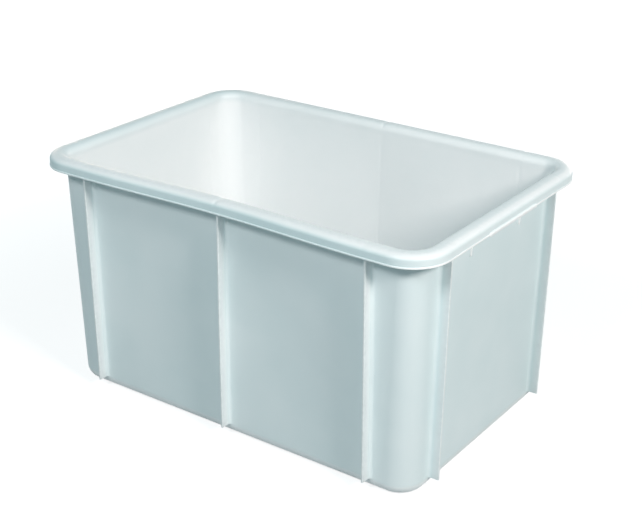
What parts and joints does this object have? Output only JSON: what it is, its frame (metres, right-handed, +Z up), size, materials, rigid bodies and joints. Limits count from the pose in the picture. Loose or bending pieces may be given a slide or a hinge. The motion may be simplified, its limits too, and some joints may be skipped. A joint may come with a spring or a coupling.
{
  "type": "stacking crate",
  "caption": "Open solid-walled stacking crate with a rolled rim, outside ribs and a rounded base that nests in the rim of the crate below.",
  "frame": {"origin": "on the ground, under the middle of the crate", "axes": "+X along the long sides, +Y across to the back long side, +Z up through the open top"},
  "size_m": [0.6024, 0.4, 0.33],
  "materials": {
    "white_polyethylene": "satin, as moulded, high-density polyethylene"
  },
  "bodies": {
    "root": {"base_corner_back_left": "white_polyethylene", "base_corner_back_right": "white_polyethylene", "base_corner_front_left": "white_polyethylene", "base_corner_front_right": "white_polyethylene", "base_edge_back": "white_polyethylene", "base_edge_front": "white_polyethylene", "base_edge_left": "white_polyethylene", "base_edge_right": "white_polyethylene", "corner_back_left": "white_polyethylene", "corner_back_right": "white_polyethylene", "corner_front_left": "white_polyethylene", "corner_front_right": "white_polyethylene", "floor": "white_polyethylene", "grip_left": "white_polyethylene", "grip_right": "white_polyethylene", "rib_back_left": "white_polyethylene", "rib_back_middle": "white_polyethylene", "rib_back_right": "white_polyethylene", "rib_front_left": "white_polyethylene", "rib_front_middle": "white_polyethylene", "rib_front_right": "white_polyethylene", "rib_left_back": "white_polyethylene", "rib_left_front": "white_polyethylene", "rib_right_back": "white_polyethylene", "rib_right_front": "white_polyethylene", "rim_back": "white_polyethylene", "rim_corner_back_left": "white_polyethylene", "rim_corner_back_right": "white_polyethylene", "rim_corner_front_left": "white_polyethylene", "rim_corner_front_right": "white_polyethylene", "rim_front": "white_polyethylene", "rim_left": "white_polyethylene", "rim_right": "white_polyethylene", "wall_back_left": "white_polyethylene", "wall_back_right": "white_polyethylene", "wall_front_left": "white_polyethylene", "wall_front_right": "white_polyethylene", "wall_left": "white_polyethylene", "wall_right": "white_polyethylene", "web_left_back": "white_polyethylene", "web_left_front": "white_polyethylene", "web_right_back": "white_polyethylene", "web_right_front": "white_polyethylene"}
  },
  "joints": []
}
